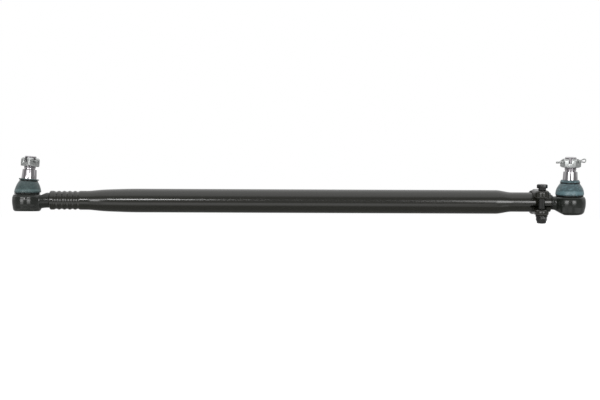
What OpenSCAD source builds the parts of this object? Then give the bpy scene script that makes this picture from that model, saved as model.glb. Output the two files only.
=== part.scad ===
// Tie rod for a heavy vehicle, with a ball joint at each end.
// The origin is the centre of the left ball. +X runs along the rod to the right ball,
// +Z runs up along the studs and -Y faces the clamp bolt.

/* [Rod] */
// Distance between the two ball centres
ball_spacing = 1100; // [800:10:1600]
// Outer diameter of the tube
tube_d = 48; // [46:1:54]
// Wall of the tube in its full part
tube_wall = 5; // [3.5:0.5:6]

/* [Rolled left neck] */
// Outer diameter of the neck that is rolled onto the fixed shank
rolled_neck_d = 38.5; // [37:0.5:41]
// Distance from the left ball to the end of the tube
rolled_neck_start = 46.7; // [44:0.1:52]
// Number of grooves rolled into the neck
groove_count = 5; // [3:1:6]
// Distance from one groove to the next
groove_pitch = 10.9; // [9:0.1:12]
// Depth of each groove
groove_depth = 1.8; // [1:0.1:2.4]
// Distance from the end of the tube to the first groove
first_groove = 12.6; // [10:0.1:14]
// Plain length of the neck behind the last groove
plain_neck_length = 24; // [16:1:40]
// Length of the steep part of the left swage
left_swage_length = 28; // [20:1:50]
// Length of the gentle run-out behind the left swage
left_runout_length = 56; // [20:1:90]
// Depth of the gentle run-out, measured on the radius
left_runout_depth = 1.9; // [0.5:0.1:2.5]

/* [Clamped right neck] */
// Outer diameter of the neck that takes the threaded shank
clamped_neck_d = 39.5; // [38:0.5:42]
// Distance from the end of the tube to the right ball
clamped_neck_end = 39.5; // [38:0.5:44]
// Length of the clamped neck
clamped_neck_length = 83; // [70:1:110]
// Length of the right swage
right_swage_length = 23; // [15:1:45]
// Width of the clamping slot in the neck
slot_w = 4; // [2:0.5:5]
// Length of the clamping slot
slot_length = 43; // [30:1:60]
// Angle of the slot below the front of the tube
slot_angle = 27; // [20:1:30]

/* [Shanks] */
// Diameter of the fixed shank inside the rolled neck
fixed_shank_d = 28; // [27:0.5:29]
// Length by which the fixed shank passes the last groove
fixed_shank_tail = 12; // [8:1:16]
// Thread diameter of the adjustable shank
screw_d = 30; // [28:1:31]
// Length of the adjustable shank inside the tube
screw_length = 78; // [60:1:90]
// Length by which the adjustable shank can be screwed in further
screw_in_travel = 3; // [1:0.5:4]
// Running clearance of the adjustable shank, measured on the radius
screw_clearance = 0.05; // [0.02:0.01:0.1]
// Diameter of the bare neck between each housing and its shank
forging_neck_d = 30.6; // [30.5:0.1:34]
// Flare of the left neck towards its housing, measured on the radius
left_neck_flare = 2.5; // [1:0.5:5]
// Flare of the right neck towards its housing, measured on the radius
right_neck_flare = 6; // [1:0.5:6]

/* [Clamp] */
// Width of the clamp behind the tube
clamp_w = 36; // [34:1:44]
// Thickness of the clamp round the tube
clamp_wall = 4.4; // [3.5:0.1:6]
// Distance of the clamp from the end of the tube
clamp_inset = 5.2; // [1.5:0.1:6]
// Turn of the clamp about the tube, its bolt head towards the front
clamp_turn = 6; // [0:1:12]
// Gap between the two lugs
lug_gap = 22.4; // [18:0.2:24]
// Thickness of the upper lug
upper_lug_t = 15.8; // [12:0.2:18]
// Thickness of the lower lug
lower_lug_t = 11.8; // [9:0.2:14]
// Width of the lugs, which end in a half circle round the bolt
lug_w = 28; // [25:0.5:30]
// Radius of the rounded edges of the lugs
lug_edge_r = 4; // [2:0.5:4.5]
// Distance from the tube's axis to the bolt
bolt_offset = 35; // [33:0.5:38]
// Thread diameter of the clamp bolt
bolt_d = 12; // [10:1:14]
// Width across flats of the bolt head and its nut
bolt_flats = 19; // [18:0.5:22]
// Height of the bolt head
bolt_head_h = 7.6; // [6:0.2:9]
// Diameter of the collar under the bolt head
bolt_collar_d = 15.2; // [14.6:0.1:17]
// Height of the collar under the bolt head
bolt_collar_h = 4.8; // [3:0.2:6]
// Height of the nut with its rounded collar
lock_nut_h = 13.4; // [11:0.2:16]
// Height of the nut's hexagon
lock_nut_hex_h = 8.6; // [7:0.2:10]
// Diameter of the washer
washer_d = 24; // [22:0.5:26]
// Thickness of the washer
washer_t = 2.5; // [1.5:0.1:3]

/* [Ball joints] */
// Diameter of the balls
ball_d = 35; // [34:0.5:36]
// Outer diameter of the left housing at its widest
left_housing_d = 61; // [60:1:64]
// Outer diameter of the right housing at its widest
right_housing_d = 66; // [62:1:68]
// Depth of the left housing below the ball's centre
left_housing_depth = 22.7; // [22.5:0.1:25]
// Depth of the right housing below the ball's centre
right_housing_depth = 24.6; // [22.5:0.1:27]
// Radius of the left housing's bottom edge
left_bottom_edge_r = 6; // [3:0.5:6]
// Radius of the right housing's bottom edge
right_bottom_edge_r = 8; // [4:0.5:8]
// Height of the left housing's shoulder above the ball's centre
left_shoulder_h = 12; // [10:0.2:12.4]
// Height of the right housing's shoulder above the ball's centre
right_shoulder_h = 12.3; // [11.5:0.2:12.7]
// Slope of the right housing's underside, which runs out into its neck
underside_slope = 28; // [22:1:32]
// Wall below the room of the right housing, which is closed at the bottom
closed_wall = 3.6; // [3:0.2:4.4]
// Diameter of the left housing's bore, which holds the bearing seats
seat_bore_d = 44; // [43:0.5:46]
// Height of the left housing's lip above the upper seat
seat_lip_h = 7.2; // [6.8:0.1:7.6]
// Thickness of the left end cover and of the right closing ring
cover_t = 3; // [2.5:0.1:3.4]
// Width by which the left end cover is wider than the bore above it
cover_ledge = 1.8; // [1:0.1:2.5]
// Thickness of the rolled rims over the left end cover and the right closing ring
rim_t = 1.2; // [0.8:0.1:1.4]
// Thickness of the disc springs
spring_t = 1; // [0.8:0.1:1.2]
// Height of the disc springs as fitted
spring_h = 1.6; // [1.4:0.1:1.8]
// Swing of each stud to any side
swing = 20; // [15:1:20]
// Lean of the left stud towards the right end
left_lean = 4.5; // [0:0.5:8]
// Lean of the right stud towards the right end
right_lean = 0.5; // [0:0.5:4]
// Turn of the right ball joint about the rod, its stud towards the front
right_turn = 5; // [0:1:10]

/* [Studs] */
// Diameter of the studs' necks
stud_neck_d = 23; // [21:0.5:23]
// Largest diameter of the studs
stud_d = 30; // [29:0.5:31]
// Height where the studs reach their largest diameter
stud_flare_h = 33; // [31:0.5:35]
// Height where the taper begins
taper_start = 46; // [45:0.5:48]
// Height where the taper ends
taper_end = 62; // [60:0.5:64]
// Thread diameter of the studs
thread_d = 24; // [22:1:25]
// Depth of the thread's relief
relief_depth = 1.1; // [0.8:0.1:1.5]
// Height of the left stud's top
left_stud_top = 89.6; // [89:0.2:94]
// Height of the right stud's top
right_stud_top = 91.6; // [91:0.2:94]
// Width of the castle nuts across flats
nut_flats = 36; // [34:1:38]
// Turn of the left castle nut, from a corner towards the front
left_nut_turn = 9; // [-15:1:15]
// Turn of the right castle nut, from a flat towards the front
right_nut_turn = -14; // [-15:1:15]
// Height of the left castle nut's underside
left_nut_start = 68.8; // [68:0.2:71]
// Height of the right castle nut's underside
right_nut_start = 70.8; // [68:0.2:71]
// Height of the castle nuts
nut_h = 17; // [16:0.5:18]
// Width of the slots in the castle nuts
nut_slot_w = 5.6; // [5:0.2:6.5]
// Depth of the slots in the castle nuts
nut_slot_depth = 8.6; // [8:0.2:9.4]
// Diameter of the split pins
pin_d = 4; // [3.4:0.1:4.2]
// Slope of the split pins, which lie loosely in their holes
pin_slope = 3; // [0:0.5:3]
// Length of the split pins' legs from the stud's axis
pin_leg_length = 32; // [28:1:38]
// Distance from the stud's axis to the middle of the split pins' eyes
pin_eye_offset = 30.5; // [28:0.5:34]
// Height of the split pins' eyes
pin_eye_h = 8.8; // [8:0.2:13]

/* [Boots] */
// Wall of the boots
boot_wall = 2.2; // [1.6:0.1:2.6]
// Diameter of the left boot at its shoulder
left_boot_d = 53.2; // [52:0.2:56]
// Diameter of the right boot at its shoulder
right_boot_d = 57.4; // [54:0.2:59]
// Height of the left boot's shoulder
left_boot_shoulder = 18.4; // [17.6:0.2:20]
// Height of the right boot's shoulder
right_boot_shoulder = 16.2; // [15.8:0.2:18]
// Outward bulge of the left boot between its shoulder and its neck
left_bulge = 1.2; // [0:0.1:2]
// Outward bulge of the right boot between its shoulder and its neck
right_bulge = 2.3; // [0:0.1:3]
// Diameter of the left boot under its upper ring
left_boot_top_d = 37.4; // [37:0.2:40]
// Diameter of the right boot under its upper ring
right_boot_top_d = 39.6; // [37:0.2:41]
// Height of the left boot's neck groove
left_neck_h = 39.8; // [38:0.2:41]
// Height of the right boot's neck groove
right_neck_h = 39.4; // [37:0.2:41]
// Height of the left boot's sealing collar
left_collar_h = 2.4; // [2:0.1:4]
// Height of the right boot's sealing collar
right_collar_h = 4.6; // [4:0.1:6]
// Diameter of the left sealing collar at its widest
left_collar_d = 40.2; // [38:0.2:41]
// Diameter of the right sealing collar at its widest
right_collar_d = 40.6; // [38:0.2:42]
// Diameter of the wire rings' wire
ring_wire_d = 2; // [1.6:0.1:2.2]

/* [Hidden] */
$fn = 72;

// Small clearances between pieces that are seated on each other
seat_clearance = 0.05;
soft_clearance = 0.3;
overshoot = 1;
past_corner = 0.15;

// The tube's stations along X
groove_span = (groove_count - 1) * groove_pitch;
last_groove = rolled_neck_start + first_groove + groove_span;
plain_neck_end = last_groove + plain_neck_length;
left_swage_end = plain_neck_end + left_swage_length;
left_runout_end = left_swage_end + left_runout_length;
tube_end = ball_spacing - clamped_neck_end;
clamped_neck_start = tube_end - clamped_neck_length;
right_swage_start = clamped_neck_start - right_swage_length;
screw_bore_r = screw_d / 2 + screw_clearance;

// The clamp and its bolt, from the tube's axis
clamp_bore_r = clamped_neck_d / 2 + seat_clearance;
clamp_outer_r = clamp_bore_r + clamp_wall;
clamp_x = tube_end - clamp_inset - clamp_w / 2;
lug_base = lug_gap / 2;
upper_lug_top = lug_base + upper_lug_t;
lower_lug_bottom = -lug_base - lower_lug_t;
bolt_hole_r = bolt_d / 2 + 0.5;
bolt_end = lower_lug_bottom - washer_t - lock_nut_h + 1;

// The stack inside each housing
ball_r = ball_d / 2;
seat_inner_r = ball_r + seat_clearance;
seat_window_r = 8;
seat_gap = 0.3;
seat_collar_h = 3;
spigot_wall = 1.8;
rim_w = 1.6;
cover_lap = 2.4;
ball_flat_h = 15.6;
stud_neck_r = stud_neck_d / 2;
opening_margin = 0.4;
spigot_rise = 3.4;
ring_rise = 1.4;
ring_inset = 1.7;
upper_ring_sink = 0.9;
foot_wall = 1.6;
pin_hole_r = pin_d / 2 + soft_clearance + thread_d / 2 * tan(pin_slope);

function pick(side, left, right) = side == "left" ? left : right;
function housing_r(side) = pick(side, left_housing_d, right_housing_d) / 2;
function housing_depth(side) = pick(side, left_housing_depth, right_housing_depth);
function shoulder_h(side) = pick(side, left_shoulder_h, right_shoulder_h);
function lean(side) = pick(side, left_lean, -right_lean);
function nut_start(side) = pick(side, left_nut_start, right_nut_start);
function stud_top(side) = pick(side, left_stud_top, right_stud_top);
function boot_r(side) = pick(side, left_boot_d, right_boot_d) / 2;

// Turn of a castle nut's slots about its stud, in the ball joint's own frame
function slot_turn(side) = pick(side, left_nut_turn, 90 + right_nut_turn);
function pin_turn(side) = slot_turn(side) + 120;

// Height of a split pin at its stud's axis, so that it clears the slots' floors
function pin_h(side) =
    nut_start(side) + nut_h - nut_slot_depth + pin_d / 2 + soft_clearance
    + nut_flats / 2 * tan(pin_slope);
function spigot_top(side) = shoulder_h(side) + spigot_rise;
function shank_start(side) = pick(side, rolled_neck_start, clamped_neck_end - screw_in_travel - 0.5);

// Half width of the opening that a swung stud neck needs at height h
function opening_r(h) = h * tan(swing) + stud_neck_r / cos(swing) + opening_margin;

// Wire ring round the top of a boot, sunk in its groove
function boot_top_r(side) = pick(side, left_boot_top_d, right_boot_top_d) / 2;
function upper_ring_z(side) = pick(side, left_neck_h, right_neck_h);
function upper_ring_r(side) = boot_top_r(side) - upper_ring_sink;
function upper_groove_r(side) = upper_ring_r(side) - ring_wire_d / 2 - soft_clearance;

// Wire ring round the foot of a boot, which grips the housing's spigot
function ring_z(side) = shoulder_h(side) + ring_rise;
function ring_r(side) = boot_r(side) - ring_inset;
function foot_groove_r(side) = ring_r(side) - ring_wire_d / 2 - soft_clearance;
function spigot_r(side) = foot_groove_r(side) - foot_wall - soft_clearance;

// The left stack stands on its end cover, and the right one hangs from its closing ring
function bore_r(side) = pick(side, seat_bore_d / 2, spigot_r("right") - spigot_wall);
cover_top = -left_housing_depth + rim_t + cover_t;
closing_bottom = spigot_top("right") - rim_t - cover_t;
cup_r = min(right_housing_depth - closed_wall, bore_r("right"));
function seat_outer_r(side) = bore_r(side) - seat_clearance;
function spring_low(side) = pick(side, cover_top, closing_bottom - spring_h);
function seat_top(side) = pick(side, seat_lip_h, spring_low("right"));

// Points on an arc from angle a to angle b, seen from its centre
function arc(centre, r, a, b, steps) = [
    for (i = [0:steps])
        centre + r * [cos(a + (b - a) * i / steps), sin(a + (b - a) * i / steps)]
];

// Depth of the rolled grooves at place x along the neck, from 0 on a crest to 1 in a groove
groove_steps = 8;
function groove_share(step) = (1 - cos(360 * step / groove_steps)) / 2;

// Surface of the rolled joint, from the first groove to the last, at radius r between grooves
function rolled_line(r, depth) = [
    for (i = [0:groove_count * groove_steps])
        [
            rolled_neck_start + first_groove - groove_pitch / 2 + i * groove_pitch / groove_steps,
            r - depth * groove_share(i)
        ]
];

// Puts children on the ball joint of one side, with the shank along +X
module at_joint(side) {
    if (side == "left") children();
    else translate([ball_spacing, 0, 0]) rotate([right_turn, 0, 0]) rotate([0, 0, 180]) children();
}

// Leans children with the stud of one side
module leaning(side) {
    rotate([0, lean(side), 0]) children();
}

// Turns a profile of [x, r] points about the X axis
module turned_along_x(points) {
    rotate([0, 90, 0]) rotate([0, 0, 90]) rotate_extrude()
        polygon([for (p = points) [p[1], p[0]]]);
}

// Rod

module tube_body() {
    neck_r = rolled_neck_d / 2;
    tube_r = tube_d / 2;
    neck_bore_r = fixed_shank_d / 2 + seat_clearance;
    right_neck_r = clamped_neck_d / 2;
    end_round = 1.5;
    difference() {
        turned_along_x(concat(
            [[rolled_neck_start, 0], [rolled_neck_start, neck_r - end_round]],
            [[rolled_neck_start + end_round, neck_r]],
            rolled_line(neck_r, groove_depth),
            [[plain_neck_end, neck_r], [left_swage_end, tube_r - left_runout_depth]],
            [[left_runout_end, tube_r], [right_swage_start, tube_r]],
            [[clamped_neck_start, right_neck_r], [tube_end - end_round / 2, right_neck_r]],
            [[tube_end, right_neck_r - end_round / 2], [tube_end, 0]]
        ));
        turned_along_x(concat(
            [[rolled_neck_start - overshoot, 0], [rolled_neck_start - overshoot, neck_bore_r]],
            rolled_line(neck_bore_r, groove_depth),
            [[plain_neck_end, neck_bore_r]],
            [[left_swage_end, tube_r - left_runout_depth - tube_wall]],
            [[left_runout_end, tube_r - tube_wall], [right_swage_start, tube_r - tube_wall]],
            [[clamped_neck_start, screw_bore_r], [tube_end + overshoot, screw_bore_r]],
            [[tube_end + overshoot, 0]]
        ));
        rotate([90 + slot_angle, 0, 0])
            translate([tube_end - slot_length, -slot_w / 2, 0])
                cube([slot_length + overshoot, slot_w, tube_d]);
    }
}

module tube() {
    color([0.09, 0.09, 0.085]) tube_body();
}

// Clamp

// Puts children on the clamp's own frame, with the lugs towards -Y
module at_clamp() {
    translate([clamp_x, 0, 0]) rotate([clamp_turn, 0, 0]) children();
}

// One lug, rounded about the bolt, between heights low and high
module lug(low, high) {
    r = lug_w / 2;
    half_section = concat(
        [[0, low]],
        arc([r - lug_edge_r, low + lug_edge_r], lug_edge_r, -90, 0, 6),
        arc([r - lug_edge_r, high - lug_edge_r], lug_edge_r, 0, 90, 6),
        [[0, high]]
    );
    translate([0, -bolt_offset, 0]) {
        rotate_extrude() polygon(half_section);
        rotate([90, 0, 0]) translate([0, 0, -bolt_offset]) linear_extrude(bolt_offset) {
            polygon(half_section);
            mirror([1, 0]) polygon(half_section);
        }
    }
}

// Plan of the clamp, wide behind the tube and narrowing to the lugs
module clamp_plan() {
    w = clamp_w / 2;
    n = lug_w / 2;
    wide_y = 16;
    narrow_y = -1;
    back = clamp_outer_r + overshoot;
    polygon([
        [-w, back], [-w, wide_y], [-n, narrow_y], [-n, -bolt_offset - n],
        [n, -bolt_offset - n], [n, narrow_y], [w, wide_y], [w, back]
    ]);
}

module clamp_band() {
    height = 2 * (upper_lug_top + overshoot);
    color([0.1, 0.1, 0.095]) at_clamp() difference() {
        intersection() {
            union() {
                rotate([0, 90, 0]) cylinder(h = clamp_w, r = clamp_outer_r, center = true);
                lug(lug_base, upper_lug_top);
                lug(lower_lug_bottom, -lug_base);
            }
            translate([0, 0, -height / 2]) linear_extrude(height) clamp_plan();
        }
        rotate([0, 90, 0]) cylinder(h = clamp_w + 2 * overshoot, r = clamp_bore_r, center = true);
        translate([-clamp_w, -clamp_w - clamp_outer_r, -lug_base])
            cube([2 * clamp_w, clamp_w + clamp_outer_r, lug_gap]);
        translate([0, -bolt_offset, -height / 2]) cylinder(h = height, r = bolt_hole_r);
    }
}

// Hexagon with its corners chamfered at the top, a flat towards the front
module hexagon_head(flats, height) {
    corner_r = flats / 2 / cos(30);
    chamfer = corner_r - flats / 2;
    intersection() {
        cylinder(h = height, r = corner_r, $fn = 6);
        rotate_extrude() polygon([
            [0, 0], [corner_r + past_corner, 0], [corner_r + past_corner, height - chamfer * 0.6],
            [flats / 2 - 0.6, height], [0, height]
        ]);
    }
}

module clamp_bolt() {
    head_base = upper_lug_top + bolt_collar_h;
    color([0.11, 0.11, 0.105]) at_clamp() translate([0, -bolt_offset, 0]) {
        translate([0, 0, head_base]) hexagon_head(bolt_flats, bolt_head_h);
        translate([0, 0, upper_lug_top]) cylinder(h = bolt_collar_h, r = bolt_collar_d / 2);
        rotate_extrude() polygon([
            [0, bolt_end], [bolt_d / 2 - 1, bolt_end], [bolt_d / 2, bolt_end + 1],
            [bolt_d / 2, upper_lug_top], [0, upper_lug_top]
        ]);
    }
}

module clamp_washer() {
    color([0.12, 0.12, 0.115]) at_clamp()
        translate([0, -bolt_offset, lower_lug_bottom - washer_t]) difference() {
            cylinder(h = washer_t, r = washer_d / 2);
            translate([0, 0, -overshoot])
                cylinder(h = washer_t + 2 * overshoot, r = bolt_hole_r);
        }
}

module clamp_nut() {
    corner_r = bolt_flats / 2 / cos(30);
    collar_r = bolt_flats / 2;
    crown = 2.4;
    color([0.11, 0.11, 0.105]) at_clamp()
        translate([0, -bolt_offset, lower_lug_bottom - washer_t]) mirror([0, 0, 1]) difference() {
            union() {
                intersection() {
                    cylinder(h = lock_nut_hex_h, r = corner_r, $fn = 6);
                    rotate_extrude() polygon([
                        [0, 0], [collar_r, 0], [corner_r + past_corner, 1.1],
                        [corner_r + past_corner, lock_nut_hex_h - 1.1],
                        [collar_r, lock_nut_hex_h], [0, lock_nut_hex_h]
                    ]);
                }
                rotate_extrude() polygon(concat(
                    [[0, 0], [collar_r, 0]],
                    arc([collar_r - crown, lock_nut_h - crown], crown, 0, 90, 5),
                    [[0, lock_nut_h]]
                ));
            }
            translate([0, 0, -overshoot])
                cylinder(h = lock_nut_h + 2 * overshoot, r = bolt_d / 2 + seat_clearance);
        }
}

// Housings

// Outer form of a housing, turned about the ball joint's axis
module housing_cup(side) {
    r = housing_r(side);
    depth = housing_depth(side);
    shoulder = shoulder_h(side);
    top_r = spigot_r(side);
    edge = pick(side, left_bottom_edge_r, right_bottom_edge_r);
    low_r = r - pick(side, 2.2, 2.7);
    shoulder_round = 1.5;
    shoulder_r = boot_r(side) - shoulder_round;
    // From the belt up to the shoulder, as [step in from the belt, height]
    upper_side = pick(
        side,
        [[0, -0.5], [0.05, 4], [0.5, 6.3], [1.7, 7.3], [2.4, shoulder - 1.7]],
        [[0, -0.5], [0.4, 4.5], [1.4, 7.5], [2.6, shoulder - 1.8]]
    );
    rotate_extrude() polygon(concat(
        [[0, -depth]],
        arc([low_r - edge, edge - depth], edge, -90, -8, 6),
        [[r - 0.8, -depth * 0.36]],
        [for (p = upper_side) [r - p[0], p[1]]],
        arc([shoulder_r, shoulder - shoulder_round], shoulder_round, 35, 90, 4),
        [[top_r, shoulder], [top_r, spigot_top(side)], [0, spigot_top(side)]]
    ));
}

// Neck and shank of a housing, along +X
module housing_neck(side) {
    neck_r = forging_neck_d / 2;
    flare = pick(side, left_neck_flare, right_neck_flare);
    flare_start = seat_bore_d / 2;
    flare_end = shank_start(side) - 2;
    steps = 6;
    relief_drop = pick(side, 1.6, 0.8);
    relief_angle = pick(side, 28, 3);
    difference() {
        turned_along_x(concat(
            [[0, 0], [0, neck_r + flare]],
            [
                for (i = [0:steps])
                    let (t = i / steps)
                    [flare_start + (flare_end - flare_start) * t, neck_r + flare * pow(1 - t, 2)]
            ],
            [[shank_start(side), neck_r], [shank_start(side), 0]]
        ));
        translate([housing_r(side), 0, shoulder_h(side) - relief_drop]) rotate([0, -relief_angle, 0])
            translate([-2 * tube_d, -tube_d, 0]) cube([4 * tube_d, 2 * tube_d, tube_d]);
    }
}

// Fixed shank, whose grooves take the rolled neck of the tube
module fixed_shank() {
    r = fixed_shank_d / 2;
    root = shank_start("left") - overshoot;
    tip = last_groove + fixed_shank_tail;
    turned_along_x(concat(
        [[root, 0], [root, r]],
        rolled_line(r, groove_depth),
        [[tip - 2, r], [tip, r - 2], [tip, 0]]
    ));
}

// Adjustable shank, with a thread of plain diameter here
module screw_shank() {
    r = screw_d / 2;
    root = shank_start("right") - overshoot;
    tip = clamped_neck_end + screw_length;
    turned_along_x([[root, 0], [root, r], [tip - 2, r], [tip, r - 2], [tip, 0]]);
}

// Space that a swung stud neck needs between two heights
module swing_space(low, high) {
    rotate_extrude() polygon([
        [0, low], [opening_r(low), low], [opening_r(high), high], [0, high]
    ]);
}

// Room in the left housing, which is filled from below
module room_open_below() {
    r = bore_r("left");
    cover_r = r + cover_ledge;
    bottom = -left_housing_depth;
    rotate_extrude() polygon([
        [0, bottom - overshoot], [cover_r - cover_lap, bottom - overshoot],
        [cover_r - cover_lap, bottom + rim_t], [cover_r, bottom + rim_t],
        [cover_r, cover_top], [r, cover_top], [r, seat_lip_h], [0, seat_lip_h]
    ]);
    sphere(r = ball_r + opening_margin);
    swing_space(0, spigot_top("left") + overshoot);
}

// Room in the right housing, which is filled from above
module room_open_above() {
    r = bore_r("right");
    top = spigot_top("right");
    sphere(r = cup_r);
    rotate_extrude() polygon([
        [0, -seat_collar_h], [r, -seat_collar_h], [r, top - rim_t],
        [r - rim_w, top - rim_t], [r - rim_w, top + overshoot], [0, top + overshoot]
    ]);
}

// What is missing below the slanted underside of the right housing
module underside_space() {
    translate([housing_r("right") - 2, 0, -forging_neck_d / 2]) rotate([0, -underside_slope, 0])
        translate([-2 * tube_d, -tube_d, -tube_d]) cube([2 * tube_d, 2 * tube_d, tube_d]);
}

module housing(side) {
    color([0.09, 0.095, 0.09]) at_joint(side) difference() {
        union() {
            difference() {
                union() {
                    housing_cup(side);
                    housing_neck(side);
                }
                if (side == "right") underside_space();
            }
            if (side == "left") fixed_shank();
            else screw_shank();
        }
        if (side == "left") room_open_below();
        else room_open_above();
    }
}

// Plate under the left stack, held by the housing's rolled rim
module left_end_cover() {
    r = bore_r("left") + cover_ledge - seat_clearance;
    dome_r = seat_window_r + 4;
    dome_depth = 0.6;
    color([0.12, 0.12, 0.115]) translate([0, 0, cover_top - cover_t]) difference() {
        cylinder(h = cover_t, r = r);
        translate([0, 0, -overshoot]) cylinder(h = overshoot + dome_depth, r = dome_r);
    }
}

// Ring above the right stack, held by the housing's rolled rim
module right_closing_ring() {
    top = closing_bottom + cover_t;
    color([0.3, 0.3, 0.3]) at_joint("right") difference() {
        translate([0, 0, closing_bottom]) cylinder(h = cover_t, r = seat_outer_r("right"));
        swing_space(closing_bottom - overshoot, top + overshoot);
    }
}

// Disc spring that takes up the play of the seats
module preload_spring(side) {
    outer_r = seat_outer_r(side) - 1;
    inner_r = pick(side, seat_window_r + 3, opening_r(closing_bottom) + 1);
    low = spring_low(side);
    high = low + spring_h;
    color([0.55, 0.56, 0.58]) at_joint(side) rotate_extrude() polygon([
        [inner_r, high - spring_t], [outer_r, low],
        [outer_r, low + spring_t], [inner_r, high]
    ]);
}

// Cup under the ball, open in the middle; the right one is round like its housing
module lower_seat(side) {
    bottom = pick(side, cover_top + spring_h, -seat_collar_h);
    color([0.85, 0.84, 0.8]) at_joint(side) difference() {
        union() {
            translate([0, 0, bottom]) cylinder(h = -seat_gap - bottom, r = seat_outer_r(side));
            if (side == "right") intersection() {
                sphere(r = cup_r - seat_clearance);
                translate([0, 0, -cup_r]) cylinder(h = cup_r - seat_gap, r = cup_r);
            }
        }
        sphere(r = seat_inner_r);
        translate([0, 0, -2 * ball_r]) cylinder(h = 2 * ball_r, r = seat_window_r);
    }
}

// Ring above the ball
module upper_seat(side) {
    color([0.85, 0.84, 0.8]) at_joint(side) difference() {
        translate([0, 0, seat_gap]) cylinder(h = seat_top(side) - seat_gap, r = seat_outer_r(side));
        sphere(r = seat_inner_r);
        swing_space(0, seat_top(side) + overshoot);
    }
}

// Studs

module ball_stud(side) {
    neck_h = sqrt(ball_r * ball_r - stud_neck_r * stud_neck_r);
    r = stud_d / 2;
    taper_r = r - (taper_end - taper_start) / 16;
    relief_r = thread_d / 2 - relief_depth;
    thread_r = thread_d / 2;
    top = stud_top(side);
    flare_r = 5;
    flare = arc([stud_neck_r + flare_r, stud_flare_h - 8], flare_r, 180, 110, 5);
    color([0.72, 0.72, 0.74]) at_joint(side) leaning(side) difference() {
        union() {
            difference() {
                sphere(r = ball_r);
                translate([-ball_r, -ball_r, -ball_r - ball_flat_h])
                    cube([ball_d, ball_d, ball_r]);
            }
            rotate_extrude() polygon(concat(
                [[0, 0], [stud_neck_r - 1, 0], [stud_neck_r, neck_h - 1]],
                flare,
                [[r, stud_flare_h], [r, taper_start], [taper_r, taper_end]],
                [[relief_r, taper_end + 1], [relief_r, taper_end + 3], [thread_r, taper_end + 4]],
                [[thread_r, top - 1.5], [thread_r - 1.5, top], [0, top]]
            ));
        }
        rotate([0, 0, pin_turn(side)]) translate([0, 0, pin_h(side)]) rotate([0, 90, 0])
            cylinder(h = 2 * stud_d, r = pin_hole_r, center = true);
    }
}

module castle_nut(side) {
    corner_r = nut_flats / 2 / cos(30);
    flat_r = nut_flats / 2;
    crown_r = thread_d / 2 + 4;
    color([0.8, 0.81, 0.82]) at_joint(side) leaning(side) translate([0, 0, nut_start(side)])
        difference() {
            intersection() {
                rotate([0, 0, slot_turn(side) + 30]) cylinder(h = nut_h, r = corner_r, $fn = 6);
                rotate_extrude() polygon([
                    [0, 0], [flat_r - 0.8, 0], [corner_r + past_corner, 2],
                    [corner_r + past_corner, nut_h - 4.5], [crown_r, nut_h], [0, nut_h]
                ]);
            }
            translate([0, 0, -overshoot])
                cylinder(h = nut_h + 2 * overshoot, r = thread_d / 2 + seat_clearance);
            for (i = [0:2])
                rotate([0, 0, slot_turn(side) + 60 * i])
                    translate([-nut_flats, -nut_slot_w / 2, nut_h - nut_slot_depth])
                        cube([2 * nut_flats, nut_slot_w, nut_slot_depth + overshoot]);
        }
}

// Two half-round legs and an open eye, in an upright plane along X
module split_pin_form() {
    wire_r = pin_d / 4;
    eye_r = pin_eye_h / 2 - wire_r;
    eye_x = pin_eye_offset;
    eye_wire_r = wire_r * 1.15;
    eye_bend = 2;
    neck_x = eye_x - eye_r * 2.4;
    run = eye_x - neck_x + wire_r;
    slope = atan((eye_r - wire_r) / run);
    split = 0.15;
    difference() {
        rotate([0, 90, 0]) translate([0, 0, -pin_leg_length])
            cylinder(h = pin_leg_length + neck_x, r = pin_d / 2);
        translate([-pin_leg_length - overshoot, -pin_d, -split / 2])
            cube([pin_leg_length + neck_x - 1, 2 * pin_d, split]);
    }
    translate([neck_x, 0, 0]) rotate([0, -eye_bend, 0]) translate([-neck_x, 0, 0]) {
        translate([eye_x, 0, 0]) rotate([90, 0, 0]) difference() {
            rotate_extrude() translate([eye_r, 0]) circle(r = eye_wire_r, $fn = 24);
            translate([-2 * eye_r - wire_r, -eye_r * 2, -pin_d])
                cube([2 * eye_r + wire_r, eye_r * 4, 2 * pin_d]);
        }
        for (s = [-1, 1])
            translate([neck_x - wire_r, 0, s * wire_r]) rotate([0, 90 - s * slope, 0])
                cylinder(h = run / cos(slope), r = eye_wire_r, $fn = 24);
    }
}

module split_pin(side) {
    color([0.7, 0.71, 0.72]) at_joint(side) leaning(side)
        rotate([0, 0, pin_turn(side)]) translate([0, 0, pin_h(side)]) rotate([0, -pin_slope, 0])
            split_pin_form();
}

// Boots

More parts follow.
